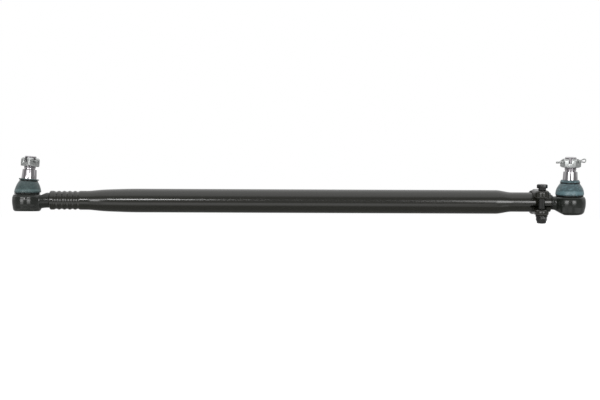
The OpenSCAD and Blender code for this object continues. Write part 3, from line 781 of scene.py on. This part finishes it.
class TieRodForms(bpy.types.PropertyGroup):
    """Sizes of the fine forms"""

    stud_pitch: bpy.props.FloatProperty(
        name="Stud thread pitch",
        description="Distance from one turn of the stud's thread to the next",
        unit="LENGTH", min=0.0005, max=0.004, default=0.0015,
    )
    thread_depth: bpy.props.FloatProperty(
        name="Thread depth",
        description="Depth of the threads on the studs and the adjustable shank",
        unit="LENGTH", min=0.0001, max=0.002, default=0.0009,
    )
    edge_width: bpy.props.FloatProperty(
        name="Broken edge",
        description="Width of the broken edges on nuts and bolts, in millimetres",
        min=0.05, max=1, default=0.35,
    )
    shoulder_slope: bpy.props.FloatProperty(
        name="Shoulder slope", description="Slope of the upper part of a housing's wall",
        min=0, max=0.4, default=0.15,
    )
    skin_size: bpy.props.FloatProperty(
        name="Forging detail",
        description="Size of the cells that make a forging's skin, in millimetres",
        min=0.4, max=2, default=0.7,
    )


class TieRodStage(bpy.types.PropertyGroup):
    """Floor, light and camera"""

    floor_height: bpy.props.FloatProperty(
        name="Floor height", description="Height of the floor below the balls",
        unit="LENGTH", min=-2, max=-0.05, default=-0.5,
    )
    window_brightness: bpy.props.FloatProperty(
        name="Window brightness",
        description="Brightness of the studio's windows, as a multiple of white",
        min=0, max=50, default=5.5,
    )
    lens: bpy.props.FloatProperty(
        name="Focal length", description="Focal length of the camera",
        unit="CAMERA", min=20, max=200, default=75,
    )


# Operators


class TIEROD_OT_tube(bpy.types.Operator):
    """Make the tube, with its rolled left neck and its slotted right neck"""

    bl_idname = "tie_rod.tube"
    bl_label = "Tube"

    def execute(self, context):
        neck = ROLLED_NECK_RADIUS
        full = TUBE_RADIUS
        inner = full - TUBE_WALL
        rows_start = GROOVES_START - GROOVE_MARGIN
        rows_end = GROOVES_START + GROOVE_COUNT * GROOVE_PITCH + GROOVE_MARGIN
        outside = [
            (FIXED_SHANK_BORE, TUBE_START), (neck - 1.5, TUBE_START, 0.3),
            (neck, TUBE_START + 1.5, 0.6), (neck, rows_start),
            (neck, rows_end), (neck, PLAIN_NECK_END, 6),
            (full - LEFT_RUNOUT_DEPTH, LEFT_SWAGE_END, 12), (full, LEFT_RUNOUT_END, 16),
            (full, RIGHT_SWAGE_START, 6), (CLAMPED_NECK_RADIUS, CLAMPED_NECK_START, 6),
            (CLAMPED_NECK_RADIUS, TUBE_END - 0.75, 0.4),
            (CLAMPED_NECK_RADIUS - 0.75, TUBE_END, 0.3), (SCREW_BORE, TUBE_END),
        ]
        inside = [
            (SCREW_BORE, CLAMPED_NECK_START), (inner, RIGHT_SWAGE_START), (inner, LEFT_RUNOUT_END),
            (inner - LEFT_RUNOUT_DEPTH, LEFT_SWAGE_END), (FIXED_SHANK_BORE, PLAIN_NECK_END),
            (FIXED_SHANK_BORE, rows_end), (FIXED_SHANK_BORE, rows_start),
        ]
        outline = in_rows(
            eased(outside, 8) + inside, rows_start, rows_end, GROOVE_PITCH / ROWS_PER_GROOVE
        )
        plain = turned("tube_blank", outline, turns=128)
        mesh = by_rule(
            "tube_rolled", plain, grooves_tree(), "tube_paint",
            start=GROOVES_START * MM, pitch=GROOVE_PITCH * MM, count=float(GROOVE_COUNT),
            depth=GROOVE_DEPTH * MM,
        )
        mesh.transform(ALONG_ROD)
        work = bmesh.new()
        bmesh.ops.create_cube(work, size=1)
        length = SLOT_LENGTH + CUTTER_OVERRUN
        middle = TUBE_END - SLOT_LENGTH / 2 + CUTTER_OVERRUN / 2
        bmesh.ops.scale(
            work, vec=(length * MM, SLOT_WIDTH * MM, CUTTER_HEIGHT * MM), verts=work.verts
        )
        bmesh.ops.translate(
            work, vec=(middle * MM, 0, CUTTER_HEIGHT / 2 * MM), verts=work.verts
        )
        cutter_mesh = bpy.data.meshes.new("slot_cutter")
        work.to_mesh(cutter_mesh)
        work.free()
        cutter_mesh.transform(Matrix.Rotation(math.radians(90 + SLOT_ANGLE), 4, "X"))
        cutter = new_object("slot_cutter", cutter_mesh)
        source = new_object("tube_skin", mesh)
        cut = source.modifiers.new("Clamping slot", "BOOLEAN")
        cut.operation = "DIFFERENCE"
        cut.solver = "EXACT"
        cut.object = cutter
        mesh = baked(source)
        bpy.data.objects.remove(cutter)
        soften(mesh, SHARP["tube"])
        piece("tube_piece", mesh, "rod", "tube_paint", "black_paint", "tube")
        return {"FINISHED"}


class TIEROD_OT_clamp(bpy.types.Operator):
    """Make the clamp with its bolt, washer and nut"""

    bl_idname = "tie_rod.clamp"
    bl_label = "Clamp"

    def execute(self, context):
        copy = merged_copy("clamp_band", "clamp_copy")
        band = forged("clamp_skin", copy, CLAMP_SKIN_SIZE, CLAMP_ROUNDS)
        soften(band, SHARP["forged"])
        piece("clamp_piece", band, "rod", "tube_paint", "black_paint", "clamp_band")
        edge = context.scene.tie_rod_forms.edge_width
        for node in ("clamp_bolt", "clamp_washer", "clamp_nut"):
            mesh = machined(node, edge)
            piece(node + "_piece", mesh, "rod", "black_steel", "black_paint", node)
        return {"FINISHED"}


class TIEROD_OT_housings(bpy.types.Operator):
    """Make the two forged housings and the thread of the adjustable shank"""

    bl_idname = "tie_rod.housings"
    bl_label = "Housings"

    def execute(self, context):
        forms = context.scene.tie_rod_forms
        for side, body in (("left", "rod"), ("right", "right_end")):
            mesh = merged_copy(side + "_housing", side + "_housing_copy")
            mesh.transform(JOINT_PLACE[side].inverted())
            if side == "right":
                cut_off(mesh, (SHANK_START + 0.4) * MM)
            skin = forged(side + "_housing_skin", mesh, forms.skin_size, HOUSING_ROUNDS)
            blend_neck(skin)
            round_wall(skin, HOUSING_RADIUS[side], forms.shoulder_slope)
            skin.transform(JOINT_PLACE[side])
            soften(skin, SHARP["forged"])
            piece(
                side + "_housing_piece", skin, body, "housing_paint", "forging_paint",
                side + "_housing",
            )
        corners = [
            (0, SHANK_START), (SHANK_RADIUS - 0.4, SHANK_START), (SHANK_RADIUS, SHANK_START + 0.5),
            (SHANK_RADIUS, SHANK_END - 2), (SHANK_RADIUS - 2, SHANK_END), (0, SHANK_END),
        ]
        outline = in_rows(corners, SHANK_START + 1, SHANK_END, SHANK_PITCH / ROWS_PER_TURN)
        shank = by_rule(
            "shank_skin", turned("shank_blank", outline, turns=72), thread_tree(), "black_steel",
            pitch=SHANK_PITCH * MM, depth=forms.thread_depth, start=(SHANK_START + 2) * MM,
            end=(SHANK_END + 1) * MM, run_out=SHANK_PITCH * MM,
        )
        shank.transform(JOINT_PLACE["right"] @ ALONG_ROD)
        soften(shank, SHARP["threaded"])
        piece("right_shank_thread", shank, "right_end", "black_steel", "forging_paint")
        return {"FINISHED"}


def cut_off(mesh, x):
    """Takes off what lies past x and closes the cut."""
    work = bmesh.new()
    work.from_mesh(mesh)
    found = bmesh.ops.bisect_plane(
        work, geom=work.verts[:] + work.edges[:] + work.faces[:], dist=1e-7,
        plane_co=(x, 0, 0), plane_no=(1, 0, 0), clear_outer=True,
    )
    rim = [item for item in found["geom_cut"] if isinstance(item, bmesh.types.BMEdge)]
    bmesh.ops.holes_fill(work, edges=rim, sides=0)
    bmesh.ops.recalc_face_normals(work, faces=work.faces)
    work.to_mesh(mesh)
    work.free()


def blend_neck(mesh):
    """Draws the neck and the cup of a housing together in a soft fillet."""
    work = bmesh.new()
    work.from_mesh(mesh)
    near = []
    for vert in work.verts:
        x, y, z = vert.co / MM
        beside = NECK_REACH[0] < x < NECK_REACH[1] and abs(y) < NECK_HALF_WIDTH
        if beside and math.hypot(x, y) > CUP_CORE and z > NECK_FLOOR:
            near.append(vert)
    for _ in range(NECK_ROUNDS):
        bmesh.ops.smooth_vert(
            work, verts=near, factor=0.5, use_axis_x=True, use_axis_y=True, use_axis_z=True
        )
    work.to_mesh(mesh)
    work.free()


def faded(value, start, end):
    """Nought at the start, one at the end and a soft change between them."""
    t = min(1.0, max(0.0, (value - start) / (end - start)))
    return t * t * (3 - 2 * t)


def round_wall(mesh, radius, slope):
    """Gives a housing the even, slightly barrelled wall of a die forging."""
    for vert in mesh.vertices:
        x, y, z = vert.co / MM
        reach = math.hypot(x, y)
        if reach < radius - WALL_DEPTH:
            continue
        drawn = slope * WALL_EASE * math.log(1 + math.exp(z / WALL_EASE))
        drawn += WALL_DRAFT * WALL_EASE * math.log(1 + math.exp((DRAFT_START - z) / WALL_EASE))
        share = faded(x, *WALL_FRONT) * faded(z, *WALL_FOOT) * faded(z, *WALL_TOP)
        grown = 1 + (radius - drawn - reach) * share / reach
        vert.co.x *= grown
        vert.co.y *= grown


class TIEROD_OT_studs(bpy.types.Operator):
    """Make the two ball studs, with their tapers and threads"""

    bl_idname = "tie_rod.studs"
    bl_label = "Ball studs"

    def execute(self, context):
        forms = context.scene.tie_rod_forms
        flat_angle = -math.degrees(math.asin(BALL_FLAT / BALL_RADIUS))
        neck_angle = math.degrees(math.acos(STUD_NECK_RADIUS / BALL_RADIUS))
        ball = arc((0, 0), BALL_RADIUS, flat_angle, neck_angle, 40)
        middle = (STUD_NECK_RADIUS + FLARE_RADIUS, FLARE_HEIGHT)
        flare = arc(middle, FLARE_RADIUS, 180, 110, 8)
        relief = THREAD_RADIUS - THREAD_RELIEF
        for side in SIDES:
            top = STUD_TOP[side]
            shaft = [
                flare[-1], (STUD_RADIUS, SHOULDER_HEIGHT, 1.5), (STUD_RADIUS, TAPER_START, 1),
                (TAPER_END_RADIUS, TAPER_END, 0.4), (relief, TAPER_END + 1, 0.3),
                (relief, TAPER_END + 3, 0.3), (THREAD_RADIUS, TAPER_END + 4, 0.1),
                (THREAD_RADIUS, top - 1.5, 0.1), (THREAD_RADIUS - 1.5, top, 0.2), (0, top),
            ]
            corners = [(0, -BALL_FLAT)] + ball + flare[:-1] + eased(shaft)
            height = forms.stud_pitch / MM / ROWS_PER_TURN
            outline = in_rows(corners, THREAD_START - 0.5, top - 1.4, height)
            finish = side + "_stud_steel"
            mesh = by_rule(
                side + "_stud_skin", turned(side + "_stud_blank", outline), thread_tree(),
                finish, pitch=forms.stud_pitch, depth=forms.thread_depth,
                start=THREAD_START * MM, end=(top - 0.6) * MM, run_out=1.2 * MM,
            )
            mesh.transform(JOINT_PLACE[side] @ Matrix.Rotation(STUD_LEAN[side], 4, "Y"))
            soften(mesh, SHARP["threaded"])
            piece(
                side + "_stud_piece", mesh, side + "_stud", finish, "stud_steel",
                side + "_ball_stud",
            )
        return {"FINISHED"}


class TIEROD_OT_nuts(bpy.types.Operator):
    """Make the castle nuts and their split pins"""

    bl_idname = "tie_rod.nuts"
    bl_label = "Castle nuts and split pins"

    def execute(self, context):
        edge = context.scene.tie_rod_forms.edge_width
        for side in SIDES:
            nut = side + "_castle_nut"
            mesh = machined(nut, edge)
            piece(nut + "_piece", mesh, side + "_stud", "zinc_plate", "zinc_steel", nut)
            pin = side + "_split_pin"
            mesh = merged_copy(pin, pin + "_copy")
            soften(mesh, SHARP["pin"])
            piece(pin + "_piece", mesh, side + "_stud", "zinc_plate", "zinc_steel", pin)
        return {"FINISHED"}


def boot_outline(side):
    """The section of a boot as (radius, height) points in millimetres."""
    size = BOOT[side]
    top = size["neck"] - WIRE_RADIUS - RING_CLEARANCE
    collar = size["neck"] + WIRE_RADIUS + RING_CLEARANCE
    collar_top = collar + size["collar"]
    groove = size["top_radius"] - UPPER_RING_SINK - WIRE_RADIUS - RING_CLEARANCE
    drop = size["top_radius"] - size["shoulder_radius"]
    rise = top - size["shoulder"]
    outer, inner = [], []
    for i in range(BOOT_STEPS + 1):
        t = i / BOOT_STEPS
        swell = size["bulge"] * math.sin(math.pi * t)
        radius = size["shoulder_radius"] + drop * t + swell
        height = size["shoulder"] + rise * t
        outer.append((radius, height, {0: 0.9, BOOT_STEPS: 0.35}.get(i, 0)))
        if 2 < i < BOOT_STEPS - 2:
            inner.append((radius - BOOT_WALL, height))
    return eased(
        [
            (size["grip"], size["lip"]), (size["foot"], size["lip"], 0.3),
            (size["foot"], size["ring"] + WIRE_RADIUS + RING_CLEARANCE, 0.3),
            (size["shoulder_radius"] - 0.5, size["ring"] + WIRE_RADIUS + 0.6, 0.5),
        ]
        + outer
        + [
            (groove, top, 0.2), (groove, collar, 0.2), (size["collar_radius"], collar, 0.5),
            (size["collar_top_radius"], collar_top, 0.6), (BOOT_BORE + 0.5, collar_top, 0.3),
            (BOOT_BORE, collar_top - 0.5, 0.2), (BOOT_BORE, top - 0.7, 0.5),
        ]
        + inner[::-1]
        + [(size["grip"], size["spigot"] + 0.3)]
    )


def leaned(mesh, side):
    """Leans a boot with its stud, more and more from its foot to its neck."""
    spigot = BOOT[side]["spigot"] * MM
    for vert in mesh.vertices:
        tip = STUD_LEAN[side] * faded(vert.co.z, spigot, spigot + BOOT_LEAN_RUN * MM)
        vert.co = Matrix.Rotation(tip, 3, "Y") @ vert.co


class TIEROD_OT_boots(bpy.types.Operator):
    """Make the rubber boots and their wire rings"""

    bl_idname = "tie_rod.boots"
    bl_label = "Boots and rings"

    def execute(self, context):
        for side, base_body in (("left", "rod"), ("right", "right_end")):
            size = BOOT[side]
            mesh = turned(side + "_boot_skin", boot_outline(side))
            leaned(mesh, side)
            mesh.transform(JOINT_PLACE[side])
            soften(mesh, SHARP["rubber"])
            boot = piece(
                side + "_boot_piece", mesh, None, side + "_rubber", side + "_boot_rubber",
                side + "_boot",
            )
            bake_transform(boot)
            lean = Matrix.Rotation(STUD_LEAN[side], 4, "Y")
            upper_radius = size["top_radius"] - UPPER_RING_SINK
            for level, body, radius, height, turn in (
                ("lower", base_body, size["ring_radius"], size["ring"], Matrix.Identity(4)),
                ("upper", side + "_tilt", upper_radius, size["neck"], lean),
            ):
                name = side + "_boot_" + level + "_ring"
                blank = bpy.data.meshes.new(name + "_blank")
                ring = by_rule(
                    name + "_skin", blank, ring_tree(), "black_steel",
                    ring_radius=radius * MM, wire_radius=WIRE_RADIUS * MM,
                )
                ring.transform(JOINT_PLACE[side] @ turn @ Matrix.Translation((0, 0, height * MM)))
                outward(ring)
                soften(ring, SHARP["wire"])
                piece(name + "_piece", ring, body, "black_steel", "ring_wire", name)
        return {"FINISHED"}


class TIEROD_OT_inner_pieces(bpy.types.Operator):
    """Give the seats, the springs, the closing ring and the end cover their finishes"""

    bl_idname = "tie_rod.inner_pieces"
    bl_label = "Inner pieces"

    def execute(self, context):
        for side in SIDES:
            coat(side + "_upper_seat", "seat_plastic")
            coat(side + "_lower_seat", "seat_plastic")
            coat(side + "_preload_spring", "sprung_steel")
        coat("right_closing_ring", "sprung_steel")
        node = "left_end_cover"
        mesh = machined(node, COVER_EDGE)
        piece(node + "_piece", mesh, "rod", "housing_paint", "forging_paint", node)
        return {"FINISHED"}


class TIEROD_OT_stage(bpy.types.Operator):
    """Make the floor, the studio light and the camera"""

    bl_idname = "tie_rod.stage"
    bl_label = "Stage"

    def execute(self, context):
        stage = context.scene.tie_rod_stage
        make_floor(stage.floor_height)
        make_world(context.scene, stage.window_brightness)
        lens = bpy.data.cameras.new("photo_camera")
        lens.lens = stage.lens
        lens.sensor_width = 36
        lens.clip_end = 100
        camera = bpy.data.objects.new("photo_camera", lens)
        context.scene.collection.objects.link(camera)
        camera.matrix_world = (
            Matrix.Translation(CAMERA_PLACE)
            @ Matrix.Rotation(math.pi / 2, 4, "X")
            @ Matrix.Rotation(CAMERA_ROLL, 4, "Z")
        )
        context.scene.camera = camera
        context.scene.view_settings.view_transform = "Standard"
        return {"FINISHED"}


def make_floor(height):
    """A white floor that mirrors don't see."""
    work = bmesh.new()
    bmesh.ops.create_grid(work, x_segments=1, y_segments=1, size=FLOOR_HALF_SIZE)
    mesh = bpy.data.meshes.new("pale_floor")
    work.to_mesh(mesh)
    work.free()
    mesh.transform(Matrix.Translation((0.5, 0, height)))
    made, sheet, place = new_material("pale_floor")
    seen = sheet.add("ShaderNodeLightPath", output="Is Camera Ray")
    mirrored = sheet.add("ShaderNodeLightPath", output="Is Glossy Ray")
    wash = sheet.mixed(noise(sheet, place, 1.3), grey(0.85), grey(0.88))
    matt = sheet.add("ShaderNodeBsdfDiffuse", {}, {"Color": wash})
    glow = sheet.add("ShaderNodeEmission", {}, {"Color": grey(FLOOR_GLOW)})
    lit = sheet.add("ShaderNodeAddShader", {}, {0: matt, 1: glow})
    plain = sheet.add("ShaderNodeMixShader", {}, {0: seen, 1: matt, 2: lit})
    clear = sheet.add("ShaderNodeBsdfTransparent")
    both = sheet.add("ShaderNodeMixShader", {}, {0: mirrored, 1: plain, 2: clear})
    sheet.add("ShaderNodeOutputMaterial", {}, {"Surface": both})
    mesh.materials.append(made)
    new_object("pale_floor", mesh)


def grey(level):
    return (level, level, level, 1)


def room_light(sheet, level, stops):
    """The room's brightness at a height, from a table of its stops."""
    stops = [(place, grey(white)) for place, white in stops]
    return sheet.add("ShaderNodeValToRGB", {"stops": stops}, {"Fac": level})


def make_world(scene, brightness):
    """A studio that is dark in front of the rod, white above it and pale behind it."""
    world = bpy.data.worlds.new("studio")
    world.use_nodes = True
    world.node_tree.nodes.clear()
    scene.world = world
    sheet = Sheet(world.node_tree)
    x, y, z = sheet.parts(sheet.add("ShaderNodeTexCoord", output="Generated"))
    seen = sheet.add("ShaderNodeLightPath", output="Is Camera Ray")
    level = z * 0.5 + 0.5
    front = room_light(sheet, level, FRONT_OF_ROOM)
    back = room_light(sheet, level, BACK_OF_ROOM)
    room = sheet.mixed((y * 3.0 + 0.5).limited(), front, back)
    turn = sheet.add("ShaderNodeMath", {"operation": "ARCTAN2"}, {0: x, 1: 0.0 - y}) * DEGREES
    rise = sheet.add("ShaderNodeMath", {"operation": "ARCSINE"}, {0: z}) * DEGREES
    for middle, half_width, low, high, share in STUDIO_WINDOWS:
        wide = within(sheet, turn, middle, half_width)
        tall = within(sheet, rise, (low + high) / 2, (high - low) / 2)
        room = sheet.mixed(wide * tall, room, grey(brightness * share))
    shown = sheet.mixed(seen, room, grey(1))
    glow = sheet.add("ShaderNodeBackground", {}, {"Color": shown})
    sheet.add("ShaderNodeOutputWorld", {}, {"Surface": glow})


STEPS = ("tube", "clamp", "housings", "studs", "nuts", "boots", "inner_pieces", "stage")


class TIEROD_PT_panel(bpy.types.Panel):
    """The tie rod's settings and the steps that make it"""

    bl_label = "Tie rod"
    bl_idname = "TIEROD_PT_panel"
    bl_space_type = "VIEW_3D"
    bl_region_type = "UI"
    bl_category = "Tie rod"

    def draw(self, context):
        scene = context.scene
        for group in (scene.tie_rod_finishes, scene.tie_rod_forms, scene.tie_rod_stage):
            box = self.layout.box()
            for name in group.__annotations__:
                box.prop(group, name)
        for step in STEPS:
            self.layout.operator("tie_rod." + step)


CLASSES = (
    TieRodFinishes, TieRodForms, TieRodStage, TIEROD_OT_tube, TIEROD_OT_clamp, TIEROD_OT_housings,
    TIEROD_OT_studs, TIEROD_OT_nuts, TIEROD_OT_boots, TIEROD_OT_inner_pieces, TIEROD_OT_stage,
    TIEROD_PT_panel,
)


def register():
    for cls in CLASSES:
        bpy.utils.register_class(cls)
    bpy.types.Scene.tie_rod_finishes = bpy.props.PointerProperty(type=TieRodFinishes)
    bpy.types.Scene.tie_rod_forms = bpy.props.PointerProperty(type=TieRodForms)
    bpy.types.Scene.tie_rod_stage = bpy.props.PointerProperty(type=TieRodStage)


def unregister():
    del bpy.types.Scene.tie_rod_stage
    del bpy.types.Scene.tie_rod_forms
    del bpy.types.Scene.tie_rod_finishes
    for cls in reversed(CLASSES):
        bpy.utils.unregister_class(cls)


def main():
    register()
    for step in STEPS:
        getattr(bpy.ops.tie_rod, step)()


if __name__ == "__main__":
    main()
